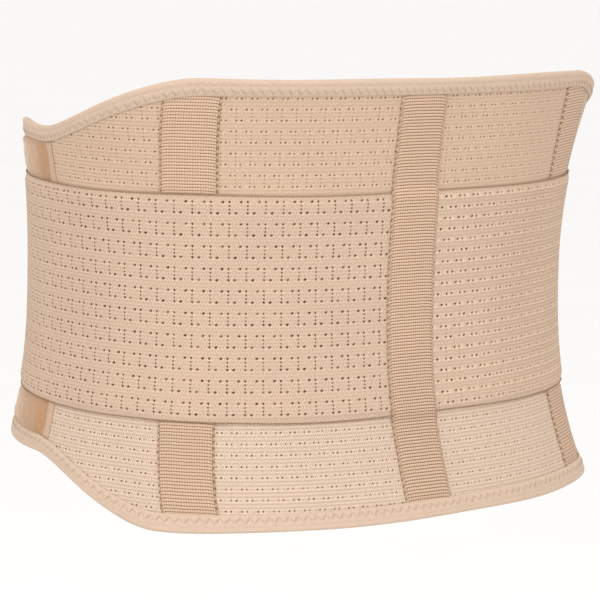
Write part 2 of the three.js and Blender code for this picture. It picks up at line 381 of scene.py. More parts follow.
def spot(add, across, across_size, up, up_size, soft):
    """1 inside an ellipse, fading to 0 at its rim."""
    both = add("CombineXYZ", [across, up])
    both = add("VectorMath", [both, (1 / across_size, 1 / up_size, 0.0)], operation="MULTIPLY")
    distance = add("VectorMath", [both], "Value", operation="LENGTH")
    return add("MapRange", [distance, soft, 1.15, 1.0, 0.0], interpolation_type="SMOOTHSTEP")


# Where the cloth's look changes: heights between which the chain gets clearer, the elastic's crests turn
# paler and painted shade darkens the webbing, and places along the waist between which the knit gets closer
CHAIN_CLEARS = (-50.0, 30.0)
ELASTIC_PALER = (-50.0, -64.0)
WEBBING_SHADED = (-20.0, -64.0)
KNIT_CLOSES = (25.0, 85.0)


def rib_elastic(name, knit, column_at, colours, look):
    """Knitted rib elastic: matt cotton-covered rubber with raised cords and open needle holes.

    It gives the eye fine level ribs, their grooves darkened by painted shade, broken by rows of paired holes
    painted dark with the shade behind them, each with a pale rim. Cords and holes were made by the knitting
    machine, whose stitches leave a fine slanting grain.
    """
    material, add = new_material(name)
    s, height, place = flat_place(add)
    cord = knit["row"] / CORDS_PER_MOTIF
    pair = knit["column"] * knit["pair"]
    rise = cord * MOTIF_RISE / 2

    # A pair has one hole on the chain's line and a wider one beside it, on opposite sides above and below
    across = centred(add, s, column_at, knit["column"])
    up = centred(add, height, knit["row_at"], knit["row"])
    side = add("Math", [up], operation="SIGN")
    turned = add("Math", [across, side, pair / 2], operation="MULTIPLY_ADD")
    beside = add("Math", [turned, 0.0], operation="LESS_THAN")
    size = add("Math", [beside, 0.3, 0.85], operation="MULTIPLY_ADD")
    folded = add("Math", [turned], operation="ABSOLUTE")
    folded = add("Math", [folded, -pair / 2], operation="ADD")
    level = add("Math", [up], operation="ABSOLUTE")
    from_row = add("Math", [level, -rise], operation="ADD")
    slanted = add("Math", [from_row, HOLE_SLANT, folded], operation="MULTIPLY_ADD")
    slanted = add("Math", [slanted, size], operation="DIVIDE")
    holes = spot(add, slanted, knit["hole"][0], from_row, knit["hole"][1], 0.35)
    rims = spot(add, slanted, look["rim_reach"], from_row, knit["hole"][1] * 1.7, 0.4)

    # Towards the belt's right the cords lie closer: they shut the chain and leave the holes as pale dashes
    shut = add("MapRange", [s, *KNIT_CLOSES, 1.0, look["shut_to"]])
    shut_chain = add("Math", [shut, 3.0], operation="POWER")
    on_chain = add("Math", [level, rise - cord / 2], operation="LESS_THAN")
    clear = add("MapRange", [height, *CHAIN_CLEARS, look["chain"], look["chain_above"]])
    dots = spot(add, across, knit["dot"][0], centred(add, up, rise, cord), knit["dot"][1], 0.35)
    for part in (on_chain, clear, shut_chain):
        dots = add("Math", [dots, part], operation="MULTIPLY")

    # Stitches differ, so some holes are tighter than others
    uneven = add("TexNoise", {"Vector": place, "Scale": 0.16, "Detail": 2.0, "Roughness": 0.7}, "Fac")
    uneven = add("MapRange", [uneven, 0.3, 0.6, 0.5, 1.0])
    openings = add("Math", [holes, dots], operation="MAXIMUM")
    for part in (uneven, shut):
        openings = add("Math", [openings, part], operation="MULTIPLY")

    # Below the waist the crests are paler
    low_down = add("MapRange", [height, *ELASTIC_PALER])
    crest = add("Mix", {FACTOR: low_down, FIRST: colours["crest"], SECOND: colours["low_down"]}, **COLOUR_MIX)
    # Painted shade: where the surface is sunk between the cords the groove colour takes over
    relief = add("Attribute", [], "Fac", attribute_name="relief")
    body = add("Mix", {FACTOR: relief, FIRST: colours["groove"], SECOND: crest}, **COLOUR_MIX)

    # Stitches slant one way and the other in turn, cord by cord
    slant = add("Math", [centred(add, up, cord / 2, 2 * cord)], operation="ABSOLUTE")
    slant = add("Math", [slant, STITCH_SLANT, across], operation="MULTIPLY_ADD")
    turns = add("Math", [slant, 2 * math.pi * STITCHES_PER_COLUMN / knit["column"]], operation="MULTIPLY")
    stitches = add("Math", [turns], operation="SINE")
    loops = add("VectorMath", [place, (0.85, 1.5, 1.0)], operation="MULTIPLY")
    fuzz = add("TexNoise", {"Vector": loops, "Scale": 1.3, "Detail": 3.0, "Roughness": 0.7}, "Fac")
    dyed = add("TexNoise", {"Vector": place, "Scale": 0.035, "Detail": 3.0}, "Fac")
    stitches = add("Math", [stitches, fuzz], operation="MULTIPLY")
    strength = add("MapRange", [low_down, 0.0, 1.0, look["stitch"], look["stitch_below"]])
    tone = weighed(add, 0.45, (fuzz, 1.0), (dyed, 0.10), (stitches, strength), (rims, look["rim_tone"]))
    body = add("VectorMath", [body, tone], operation="MULTIPLY")
    # Painted shade: the holes and the chain's dots take the hole colour, the shadowed layer seen through them
    colour = add("Mix", {FACTOR: openings, FIRST: body, SECOND: colours["hole"]}, **COLOUR_MIX)

    grain = weighed(add, stitches, (fuzz, 0.6), (openings, -1.5))
    finish_surface(add, colour, grain, (0.35, 0.2), 0.95, 0.08, gloss=0.12)
    return material


def grosgrain_webbing():
    """Grosgrain ribbon of matt polyester: round weft ribs with gaps darkened by painted shade, and a firm
    stitched selvedge.

    It gives the eye a crisp ladder of light ribs. The ribs were woven in over a thick weft.
    """
    material, add = new_material("grosgrain_webbing")
    s, height, place = flat_place(add)
    # Warp threads bind the ribs about every 0.8 mm, drawn a little wider apart, and bridge the dark gaps
    warp = add("Math", [centred(add, s, 0.0, WARP_PITCH)], operation="ABSOLUTE")
    fuzz = add("TexNoise", {"Vector": place, "Scale": 1.1, "Detail": 3.0, "Roughness": 0.6}, "Fac")
    relief = add("Attribute", [], "Fac", attribute_name="relief")
    raised = weighed(add, relief, (warp, 0.22), (fuzz, 0.3))
    raised = add("MapRange", [raised, 0.34, 1.0])
    # Painted shade: the dark colour fills the gaps between the ribs and the sewn groove
    body = add("Mix", {FACTOR: raised, FIRST: "#7d5d3c", SECOND: "#c0a48e"}, **COLOUR_MIX)
    # Painted shade: below the straps the ribbon gets darker towards the bottom
    low_down = add("MapRange", [height, *WEBBING_SHADED])
    tone = weighed(add, 0.66, (fuzz, 0.40), (warp, 0.55), (low_down, -0.08))
    colour = add("VectorMath", [body, tone], operation="MULTIPLY")
    grain = add("Math", [fuzz, 0.5, warp], operation="MULTIPLY_ADD")
    finish_surface(add, colour, grain, (0.35, 0.25), 0.88, 0.06)
    return material


def knitted_tape(name, pale, dark, is_sewn):
    """Knitted polyamide tape: matt, soft and a little lighter than the cloth.

    It gives the eye a soft rim with slanting marks of painted shade where the zigzag seam pulls it in, every
    other one stronger. Its surface is a fine flat knit, drawn coarser than it is.
    """
    material, add = new_material(name)
    s, depth, place = flat_place(add)
    relief = add("Attribute", [], "Fac", attribute_name="relief")
    # Painted shade: where the surface is sunk the dark colour takes over
    body = add("Mix", {FACTOR: relief, FIRST: dark, SECOND: pale}, **COLOUR_MIX)
    soft = add("TexNoise", {"Vector": place, "Scale": 0.12, "Detail": 3.0}, "Fac")
    fuzz = add("TexNoise", {"Vector": place, "Scale": 0.9, "Detail": 3.0}, "Fac")
    tone = weighed(add, 0.82, (soft, 0.10), (fuzz, 0.26))
    if is_sewn:
        # Painted shade along the zigzag's slanting stitches, darker at every other, tighter one
        along = centred(add, s, 0.0, ZIGZAG_PITCH)
        is_tight = add("Math", [along, 0.0], operation="GREATER_THAN")
        tight_shade = add("Math", [is_tight, -0.09, -0.02], operation="MULTIPLY_ADD")
        along = add("Math", [along], operation="ABSOLUTE")
        line = add("Math", [along, ZIGZAG_SLOPE, ZIGZAG_NEAR], operation="MULTIPLY_ADD")
        off_line = add("Math", [depth, line], operation="SUBTRACT")
        off_line = add("Math", [off_line], operation="ABSOLUTE")
        zigzag_shade = add("MapRange", [off_line, 0.2, 0.9, 1.0, 0.0], interpolation_type="SMOOTHSTEP")
        tone = add("Math", [zigzag_shade, tight_shade, tone], operation="MULTIPLY_ADD")
    colour = add("VectorMath", [body, tone], operation="MULTIPLY")
    wale = add("Math", [centred(add, s, 0.0, TAPE_WALE)], operation="ABSOLUTE")
    grain = add("Math", [fuzz, 0.8, wale], operation="MULTIPLY_ADD")
    finish_surface(add, colour, grain, (0.3, 0.2), 0.92, 0.1)
    return material


def brushed_plush():
    """Brushed loop plush, the soft side of a touch fastener: short napped loops of polyamide.

    It gives the eye a deep, even tan with a pale bloom where it turns away. The loops were raised by
    brushing.
    """
    material, add = new_material("brushed_loop_plush")
    _, _, place = flat_place(add)
    nap = add("TexNoise", {"Vector": place, "Scale": 0.9, "Detail": 4.0, "Roughness": 0.7}, "Fac")
    brushed = add("TexNoise", {"Vector": place, "Scale": 0.05, "Detail": 3.0}, "Fac")
    mixed = add("Math", [brushed, 0.5, nap], operation="MULTIPLY_ADD")
    part = add("MapRange", [mixed, 0.45, 1.05])
    colour = add("Mix", {FACTOR: part, FIRST: "#987353", SECOND: "#b38e70"}, **COLOUR_MIX)
    finish_surface(add, colour, nap, (0.6, 0.4), 0.95, 0.7, 0.35)
    return material


def hook_tape():
    """Moulded hook tape: rows of tiny polyamide hooks on a firm backing.

    It gives the eye a dull, slightly darker field of fine dots. The hooks stand in rows about a millimetre
    apart.
    """
    material, add = new_material("hook_tape")
    s, height, place = flat_place(add)
    across = centred(add, s, 0.0, HOOK_PITCH[0])
    up = centred(add, height, 0.0, HOOK_PITCH[1])
    hooks = spot(add, across, 0.45, up, 0.5, 0.2)
    fuzz = add("TexNoise", {"Vector": place, "Scale": 0.3, "Detail": 3.0}, "Fac")
    colour = add("Mix", {FACTOR: hooks, FIRST: "#9c785c", SECOND: "#b8957a"}, **COLOUR_MIX)
    tone = add("Math", [fuzz, 0.2, 0.9], operation="MULTIPLY_ADD")
    colour = add("VectorMath", [colour, tone], operation="MULTIPLY")
    finish_surface(add, colour, hooks, (0.7, 0.5), 0.6, 0.05)
    return material


def sewing_thread(name, dark, pale):
    """Polyester sewing thread: two twisted plies with a slight lustre.

    It gives the eye fine marks along every sewn line. The twist shows as uneven light and dark.
    """
    material, add = new_material(name)
    place = add("TexCoord", [], "Object")
    twist = add("TexNoise", {"Vector": place, "Scale": 1600.0, "Detail": 2.0}, "Fac")
    colour = add("Mix", {FACTOR: twist, FIRST: dark, SECOND: pale}, **COLOUR_MIX)
    finish_surface(add, colour, twist, (0.4, 0.1), 0.55, 0.1)
    return material


def studio_paper():
    """Seamless white studio paper, matt, with a faint mottle from its pulp."""
    material, add = new_material("studio_paper")
    place = add("TexCoord", [], "Object")
    pulp = add("TexNoise", {"Vector": place, "Scale": 3.0, "Detail": 3.0}, "Fac")
    tone = add("Mix", {FACTOR: pulp, FIRST: "#f8f8f9", SECOND: "#fcfcfc"}, **COLOUR_MIX)
    surface = add("BsdfPrincipled", {"Base Color": tone, "Roughness": 0.9, "Specular IOR Level": 0.1})
    add("OutputMaterial", {"Surface": surface})
    return material


# Mesh making

# Places on the baking map: its border and width, the outer face's height, where the inner face starts and its
# height, and how far an edge stands off the outer face
MAP_BORDER = 0.02
MAP_WIDTH = 0.96
MAP_OUTER = 0.66
MAP_INNER_FROM = 0.73
MAP_INNER = 0.25
MAP_EDGE = 0.012

# A row of points nearer to an edge than this goes to the edge
ROW_SNAP = 0.25


def put(name, data):
    """A new object in the scene."""
    thing = bpy.data.objects.new(name, data)
    bpy.context.scene.collection.objects.link(thing)
    return thing


def make_object(name, points, groups, material, flat=None, relief=None):
    """A mesh object from points and groups of faces. A group holds its faces, their corners' places on the
    baking map or None, and whether they are smooth."""
    faces = []
    corners = []
    smooth = []
    for group_faces, group_corners, is_smooth in groups:
        faces += np.asarray(group_faces).tolist()
        smooth += [is_smooth] * len(group_faces)
        if group_corners is not None:
            corners.append(np.asarray(group_corners, float).reshape(-1, 2))
    mesh = bpy.data.meshes.new(name)
    mesh.from_pydata(points.reshape(-1, 3).tolist(), [], faces)
    mesh.polygons.foreach_set("use_smooth", smooth)
    if corners:
        layer = mesh.uv_layers.new(name="OFBake")
        layer.uv.foreach_set("vector", np.concatenate(corners).ravel())
    if flat is not None:
        mesh.attributes.new("flat", "FLOAT_VECTOR", "POINT").data.foreach_set("vector", flat.ravel())
    if relief is not None:
        mesh.attributes.new("relief", "FLOAT", "POINT").data.foreach_set("value", relief.ravel())
    mesh.materials.append(material)
    mesh.update()
    return put(name, mesh)


def cut_rows(rows, low, high):
    """Heights of a grid whose level rows are cut off by a lower and an upper edge."""
    low = np.asarray(low, float)[:, None]
    high = np.asarray(high, float)[:, None]
    heights = np.broadcast_to(np.asarray(rows, float)[None, :], (low.shape[0], len(rows)))
    heights = np.where(heights < low + ROW_SNAP, low, heights)
    heights = np.where(heights > high - ROW_SNAP, high, heights)
    heights[:, 0] = low[:, 0]
    heights[:, -1] = high[:, 0]
    return heights


def zipped(near, near_z, far, far_z):
    """Triangles of the narrow wall between two rising lines of points with different spacing."""
    triangles = []
    i = j = 0
    while i < len(near) - 1 or j < len(far) - 1:
        if j == len(far) - 1 or (i < len(near) - 1 and near_z[i + 1] < far_z[j + 1]):
            triangles.append((near[i], far[j], near[i + 1]))
            i += 1
        else:
            triangles.append((near[i], far[j], far[j + 1]))
            j += 1
    return np.array(triangles)


def cloth(name, s, heights, outer, inner, material, relief=None, inner_rows=8, place_on=lay):
    """A closed piece of cloth: a fine outer face, a plainer inner one, and the edges between them.

    heights has a row for each place in s, and repeats a value where an edge cuts rows off. outer and inner
    are the distances off the form of the two faces, at (s, height). place_on lays the points.
    """
    s = np.asarray(s, float)
    columns, rows = heights.shape
    fresh = np.ones((columns, rows), bool)
    fresh[:, 1:] = np.diff(heights, axis=1) > 1e-6
    ids = np.cumsum(fresh.ravel()).reshape(columns, rows) - 1
    all_s = np.broadcast_to(s[:, None], heights.shape)
    outer_w = np.broadcast_to(outer, heights.shape)

    inner_z = between(heights[:, 0], heights[:, -1], np.linspace(0, 1, inner_rows + 1))
    inner_s = np.broadcast_to(s[:, None], inner_z.shape)
    inner_w = inner(inner_s, inner_z)
    first = ids[-1, -1] + 1
    inner_ids = first + np.arange(inner_z.size).reshape(inner_z.shape)

    flat_s = np.concatenate([all_s[fresh], inner_s.ravel()])
    flat_z = np.concatenate([heights[fresh], inner_z.ravel()])
    flat_w = np.concatenate([outer_w[fresh], inner_w.ravel()])
    points = place_on(flat_s, flat_z, flat_w)
    flat = np.stack([flat_s, along_cloth(flat_z), flat_w * 0], axis=-1)
    raised = None
    if relief is not None:
        plain = np.full(inner_z.size, float(np.mean(relief)))
        raised = np.concatenate([np.broadcast_to(relief, heights.shape)[fresh], plain])

    # The baking map: the outer face below, the inner face above it, and the edges round the outer face
    across = MAP_BORDER + MAP_WIDTH * (flat_s - s.min()) / (s.max() - s.min())
    tall = (flat_z - heights.min()) / (heights.max() - heights.min())
    place = np.stack([across, MAP_BORDER + MAP_OUTER * tall], axis=-1)
    place[first:, 1] = MAP_INNER_FROM + MAP_INNER * tall[first:]

    a, b, c, d = ids[:-1, :-1], ids[1:, :-1], ids[1:, 1:], ids[:-1, 1:]
    whole = (a != d) & (b != c)
    left = (a == d) & (b != c)
    right = (a != d) & (b == c)
    quads = np.stack([a[whole], b[whole], c[whole], d[whole]], axis=-1)
    lefts = np.stack([a[left], b[left], c[left]], axis=-1)
    rights = np.stack([a[right], b[right], d[right]], axis=-1)
    e, f = inner_ids[:-1, :-1].ravel(), inner_ids[:-1, 1:].ravel()
    g, h = inner_ids[1:, 1:].ravel(), inner_ids[1:, :-1].ravel()
    backs = np.stack([e, f, g, h], axis=-1)
    groups = [(faces, place[faces], True) for faces in (quads, lefts, rights, backs) if len(faces)]

    turned_over = [0, 3, 2, 1]
    for row, sign in ((0, -1), (-1, 1)):
        out, back = ids[:, row], inner_ids[:, row]
        wall = np.stack([back[:-1], back[1:], out[1:], out[:-1]], axis=-1)
        corner = place[np.stack([out[:-1], out[1:], out[1:], out[:-1]], axis=-1)]
        corner[:, :2, 1] += sign * MAP_EDGE
        if sign > 0:
            wall, corner = wall[:, turned_over], corner[:, turned_over]
        groups.append((wall, corner, False))

    for column, sign in ((0, -1), (-1, 1)):
        out = np.unique(ids[column])
        back = inner_ids[column]
        wall = zipped(back, flat_z[back], out, flat_z[out])
        corner = place[wall]
        corner[..., 0] = place[out[0], 0] + sign * MAP_EDGE * (wall >= first)
        corner[..., 1] = MAP_BORDER + MAP_OUTER * tall[wall]
        if sign > 0:
            wall, corner = wall[:, ::-1], corner[:, ::-1]
        groups.append((wall, corner, False))
    return make_object(name, points, groups, material, flat, raised)


def tube_sides(ids):
    """Faces between one ring of points and the next."""
    turned = np.roll(ids, -1, axis=1)
    return np.stack([ids[:-1], turned[:-1], turned[1:], ids[1:]], axis=-1).reshape(-1, 4)


def sweep(name, rings, material, flat, relief):
    """A closed solid through rings of points, one ring after another, capped at both ends."""
    count, around = rings.shape[:2]
    ids = np.arange(count * around).reshape(count, around)
    along = np.linspace(MAP_BORDER, 1 - MAP_BORDER, count)
    about = np.linspace(MAP_BORDER, 0.94, around + 1)
    corner = np.empty((count - 1, around, 4, 2))
    corner[..., :2, 0] = along[:-1, None, None]
    corner[..., 2:, 0] = along[1:, None, None]
    corner[..., [0, 3], 1] = about[None, :-1, None]
    corner[..., [1, 2], 1] = about[None, 1:, None]
    turn = np.linspace(0, 2 * math.pi, around, endpoint=False)
    disc = np.stack([np.cos(turn), np.sin(turn)], axis=-1) * 0.02 + 0.97
    groups = [
        (tube_sides(ids), corner, True),
        (ids[0][::-1][None], disc[::-1] - [0.9, 0.0], False),
        (ids[-1][None], disc, False),
    ]
    return make_object(name, rings, groups, material, flat, relief)


def thread_runs(name, runs, material, radius, sides=5):
    """Short lengths of thread, each a thin tube along its own points with pinched ends."""
    points = []
    tubes = []
    caps = []
    start = 0
    turn = np.linspace(0, 2 * math.pi, sides, endpoint=False)[None, :, None]
    for run in runs:
        ahead = np.gradient(run, axis=0)
        ahead /= np.linalg.norm(ahead, axis=1, keepdims=True)
        up = np.cross(ahead, [0.0, 0.0, 1.0])
        weak = np.linalg.norm(up, axis=1) < 0.1
        up[weak] = np.cross(ahead[weak], [1.0, 0.0, 0.0])
        up /= np.linalg.norm(up, axis=1, keepdims=True)
        over = np.cross(ahead, up)
        thick = np.full((len(run), 1, 1), radius * MM)
        thick[[0, -1]] *= 0.6
        ring = run[:, None] + thick * (np.cos(turn) * up[:, None] + np.sin(turn) * over[:, None])
        ids = start + np.arange(len(run) * sides).reshape(-1, sides)
        tubes.append(tube_sides(ids))
        caps += [ids[0][::-1], ids[-1]]
        points.append(ring.reshape(-1, 3))
        start += ids.size
    groups = [(np.concatenate(tubes), None, True), (caps, None, True)]
    return make_object(name, np.concatenate(points), groups, material)


# Knit and weave as shapes


def fold(value, start, period):
    """Distance to the middle of the nearest repeat of a pattern."""
    steps = (value - start) / period + 0.5
    return (steps - np.floor(steps) - 0.5) * period


def mirrored(parts):
    """Places on both sides of a middle, in order."""
    return np.unique(np.concatenate([np.negative(parts), parts]))


def knit_relief(s, z, knit, column_at):
    """Height of the elastic's surface and how raised it is: round cords, sunk at the needle holes."""
    height = along_cloth(z)
    cord = knit["row"] / CORDS_PER_MOTIF
    pair = knit["column"] * knit["pair"]
    across = fold(s, column_at, knit["column"])
    up = fold(height, knit["row_at"], knit["row"])
    crest = 0.5 + 0.5 * np.cos(2 * math.pi * up / cord)
    folded = np.abs(across * np.sign(up) + pair / 2) - pair / 2
    from_row = np.abs(up) - cord * MOTIF_RISE / 2
    reach = np.hypot(folded / knit["hole"][0], from_row / knit["hole"][1])
    hole = np.clip(1.2 - reach, 0, 1)
    return knit["cord"] * (crest - 1) - knit["pit"] * hole, crest


def knit_columns(start, end, knit, column_at, plain=(0.0, 0.0)):
    """Places along s that meet the middle and rims of every needle hole, but for a plain length."""
    pair = knit["column"] * knit["pair"]
    rim = knit["hole"][0]
    offsets = [middle + side for middle in (-pair, 0, pair) for side in (-rim, 0, rim)]
    first = math.floor((start - column_at) / knit["column"]) - 1
    last = math.ceil((end - column_at) / knit["column"]) + 1
    middles = column_at + np.arange(first, last + 1) * knit["column"]
    places = np.add.outer(middles, offsets).ravel()
    places = places[(places > start + 0.2) & (places < end - 0.2)]
    places = places[(places <= plain[0]) | (places >= plain[1])]
    return np.sort([start, *places, end])


def knit_rows(low, high, knit, per_cord):
    """Heights of the rows along every cord's crest and flanks."""
    step = knit["row"] / CORDS_PER_MOTIF / per_cord
    first = math.ceil((along_cloth(low) - knit["row_at"]) / step)
    last = math.floor((along_cloth(high) - knit["row_at"]) / step)
    return upright(knit["row_at"] + step * np.arange(first, last + 1))


def rounded(distance, radius):
    """How far a cloth's face falls away near an edge that is this far off."""
    inside = np.clip(1 - distance / radius, 0, 1)
    return radius * (1 - np.sqrt(1 - inside**2))


def groove_at(distance, middle, width):
    """1 in the middle of a soft groove, falling to 0 on both sides."""
    return np.exp(-(((distance - middle) / width) ** 2))


# The materials in use

PANEL_COLUMN_AT = 3.0
LEFT_STRAP_COLUMN_AT = -17.2
RIGHT_STRAP_COLUMN_AT = 20.0
# The groove colours are painted shade between the cords, and the hole colours painted shade seen through the
# needle holes
PANEL_COLOURS = {"crest": "#c2a993", "low_down": "#c6b2a0", "groove": "#926f51", "hole": "#5e3a20"}
STRAP_COLOURS = {"crest": "#bfa793", "low_down": "#bfa793", "groove": "#947459", "hole": "#4a2100"}
# How clear the chain is low down and higher up, how far the knit shuts, the reach and strength of the holes'
# pale rims, and the strength of the stitches where the cloth isn't pulled and where it is
PANEL_LOOK = {
    "chain": 0.3, "chain_above": 0.7, "shut_to": 0.7, "rim_reach": 3.0, "rim_tone": 0.14,
    "stitch": 0.16, "stitch_below": 0.42,
}
LEFT_STRAP_LOOK = {
    "chain": 1.0, "chain_above": 1.0, "shut_to": 1.0, "rim_reach": 2.1, "rim_tone": 0.12,
    "stitch": 0.24, "stitch_below": 0.24,
}
RIGHT_STRAP_LOOK = {
    "chain": 0.25, "chain_above": 0.25, "shut_to": 0.4, "rim_reach": 4.5, "rim_tone": 0.24,
    "stitch": 0.24, "stitch_below": 0.24,
}
panel_elastic = rib_elastic("rib_elastic_panel", PANEL_KNIT, PANEL_COLUMN_AT, PANEL_COLOURS, PANEL_LOOK)
strap_elastic_left = rib_elastic(
    "rib_elastic_strap_left", STRAP_KNIT, LEFT_STRAP_COLUMN_AT, STRAP_COLOURS, LEFT_STRAP_LOOK,
)
strap_elastic_right = rib_elastic(
    "rib_elastic_strap_right", STRAP_KNIT, RIGHT_STRAP_COLUMN_AT, STRAP_COLOURS, RIGHT_STRAP_LOOK,
)
webbing = grosgrain_webbing()
tape = knitted_tape("knitted_binding_tape", "#bda692", "#8f735d", True)
seam_tape = knitted_tape("knitted_seam_tape", "#b89a83", "#a1846d", False)
plush = brushed_plush()
hooks = hook_tape()
pale_thread = sewing_thread("sewing_thread_pale", "#b39b86", "#c2aa96")
brown_thread = sewing_thread("sewing_thread_brown", "#8f7055", "#a98b72")


def dress(piece, slot, *nodes):
    """The piece rides on the belt and stands for the solids that it replaces. slot is not used."""
    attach(piece, "root")
    if nodes:
        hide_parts(*nodes)
    return piece


# The back panel: fine cords above and below the straps, plain where they cover it

HIDDEN_LOW = STRAP_HEM + 3
HIDDEN_HIGH = STRAP_TOP - 3
GROOVE_SHADE_BELOW = 0.42
panel_s = knit_columns(-SEAM + GAP / 2, SEAM - GAP / 2, PANEL_KNIT, PANEL_COLUMN_AT)
panel_rows = np.concatenate([
    [HEM_AT_BACK - HEM_TILT],
    knit_rows(HEM_AT_BACK - HEM_TILT, HIDDEN_LOW, PANEL_KNIT, 2),
    np.linspace(HIDDEN_LOW, HIDDEN_HIGH, 9)[1:-1],
    knit_rows(HIDDEN_HIGH, TOP_AT_BACK, PANEL_KNIT, 2),
    [TOP_AT_BACK],
])
panel_low, panel_high = edges(panel_s, EDGE_INSET)
panel_z = cut_rows(panel_rows, panel_low, panel_high)
panel_shape, panel_crest = knit_relief(panel_s[:, None], panel_z, PANEL_KNIT, PANEL_COLUMN_AT)
under_strap = (panel_z > HIDDEN_LOW) & (panel_z < HIDDEN_HIGH)
panel_shape = np.where(under_strap, 0, panel_shape)
# How much painted shade darkens the grooves between the cords: more to the sides, and most below the waist
groove_shade_above = 0.26 + 0.1 * smoothstep(-panel_s, 95, 130) + 0.04 * smoothstep(panel_s, 20, 70)
groove_shade = np.where(panel_z > 0, groove_shade_above[:, None], GROOVE_SHADE_BELOW)
panel_crest = 1 - groove_shade * (1 - panel_crest)
back_panel = cloth(
    "back_panel_elastic", panel_s, panel_z, PANEL_THICKNESS + panel_shape,
    lambda s, z: 0 * s, panel_elastic, panel_crest, 12,
)
dress(back_panel, "panel_elastic", "back_panel")


# The straps: knitted to a firm plain edge, and thinner towards it

STRAP_EDGE = 2.2
STRAP_EDGE_ROWS = np.array([0.2, 0.5, 1.0, 1.6])
THINNING_WIDTH = 4.5
THINNING = 1.0


def strap_wave(s):
    """How far a strap's edges wander as it is pulled tight."""
    return 0.35 * np.sin(s / 19 + 0.7) + 0.25 * np.sin(s / 41)


def strap_low(s):
    return STRAP_HEM + strap_wave(s)


def strap_high(s):
    return STRAP_TOP + 0.8 * strap_wave(s)


def make_strap(name, side, column_at, material):
    ends = sorted((side * GAP, side * STRAP_END))
    under_channel = sorted((side * 1.0, side * (HALF_CENTER_CHANNEL - 2.5)))
    s = knit_columns(*ends, STRAP_KNIT, column_at, under_channel)
    rows = np.concatenate([
        [STRAP_HEM - 1], STRAP_HEM + STRAP_EDGE_ROWS,
        knit_rows(STRAP_HEM + STRAP_EDGE, STRAP_TOP - STRAP_EDGE, STRAP_KNIT, 4),
        STRAP_TOP - STRAP_EDGE_ROWS[::-1], [STRAP_TOP + 1],
    ])
    low = strap_low(s)[:, None]
    high = strap_high(s)[:, None]
    near_top = smoothstep(rows, STRAP_HEM, STRAP_TOP)[None, :]
    z = rows[None, :] + low - STRAP_HEM + near_top * (high - STRAP_TOP - low + STRAP_HEM)
    z[:, [0]], z[:, [-1]] = low, high
    shape, crest = knit_relief(s[:, None], z, STRAP_KNIT, column_at)
    from_edge = np.minimum(z - low, high - z)
    is_edge = from_edge < STRAP_EDGE - 0.3
    thinner = THINNING * (1 - smoothstep(from_edge, 0, THINNING_WIDTH)) + 0.5 * rounded(from_edge, 0.5)
    shape = np.where(is_edge, -0.1, shape) - thinner
    # Painted shade in the grooves between the cords, more on the right strap and on the left strap's outer
    # end
    groove_shade = 0.23 + 0.12 * smoothstep(-s, 110, 170) + 0.25 * smoothstep(s, 20, 80)
    crest = np.where(is_edge, 0.85, 1 - groove_shade[:, None] * (1 - crest))
    outer = strap_base(s)[:, None] + STRAP_THICKNESS + shape
    piece = cloth(name + "_elastic", s, z, outer, lambda at, height: strap_base(at), material, crest)
    return dress(piece, "strap_elastic", name)


strap_left = make_strap("strap_left", -1, LEFT_STRAP_COLUMN_AT, strap_elastic_left)
strap_right = make_strap("strap_right", 1, RIGHT_STRAP_COLUMN_AT, strap_elastic_right)


# The stay channels: the centre one lies over the straps, the side ones under them

CHANNEL_COLUMNS = mirrored([0, 0.25, 0.5, 0.75, 0.85, 0.895, 0.925, 0.955, 0.985, 1])
RIB_ROWS = np.array([0, 0.22, 0.5, 0.78])


def stretched(s, z):
    """How many times longer the cloth is along s there than the waist section."""
    step = lay(s + 0.5, z, PANEL_THICKNESS) - lay(s - 0.5, z, PANEL_THICKNESS)
    return np.linalg.norm(step, axis=-1) / MM


def center_drift(z):
    return 1.5 * smoothstep(-z, 40, 85) - 1.1 * np.exp(-((z / 48) ** 2))


def left_drift(z):
    return 2.4 * (np.abs(z) / 92) ** 6


def right_drift(z):
    return -left_drift(z)


def on_panel(z):
    return SEWN_ON + 0 * z


def over_straps(z):
    return SEWN_ON + (STRAP_LIFT + LAYER_GAP) * plateau(z, HIDDEN_LOW, HIDDEN_HIGH, 7)


# How far a strap presses a channel flat, how strongly painted shade darkens the gaps between its ribs, and
# how wide its dark rim is
CHANNELS = (
    {
        "name": "channel_center", "middle": 0.0, "half": HALF_CENTER_CHANNEL, "base": over_straps,
        "drift": center_drift, "pressed": 0.0, "contrast": 0.92, "dark_rim": 0.4,
    },
    {
        "name": "channel_left", "middle": -SIDE_CHANNEL, "half": HALF_SIDE_CHANNEL, "base": on_panel,
        "drift": left_drift, "pressed": 0.55, "contrast": 0.85, "dark_rim": 0.8,
    },
    {
        "name": "channel_right", "middle": SIDE_CHANNEL, "half": HALF_SIDE_CHANNEL, "base": on_panel,
        "drift": right_drift, "pressed": 0.55, "contrast": 0.75, "dark_rim": 0.8,
    },
)


def channel_place(middle, drift):
    """Lays webbing, which keeps its width where the form flares and drifts a little off its line."""
    def place(s, z, w):
        return lay(middle + drift(z) + (s - middle) / stretched(middle + 0 * z, z), z, w)
    return place


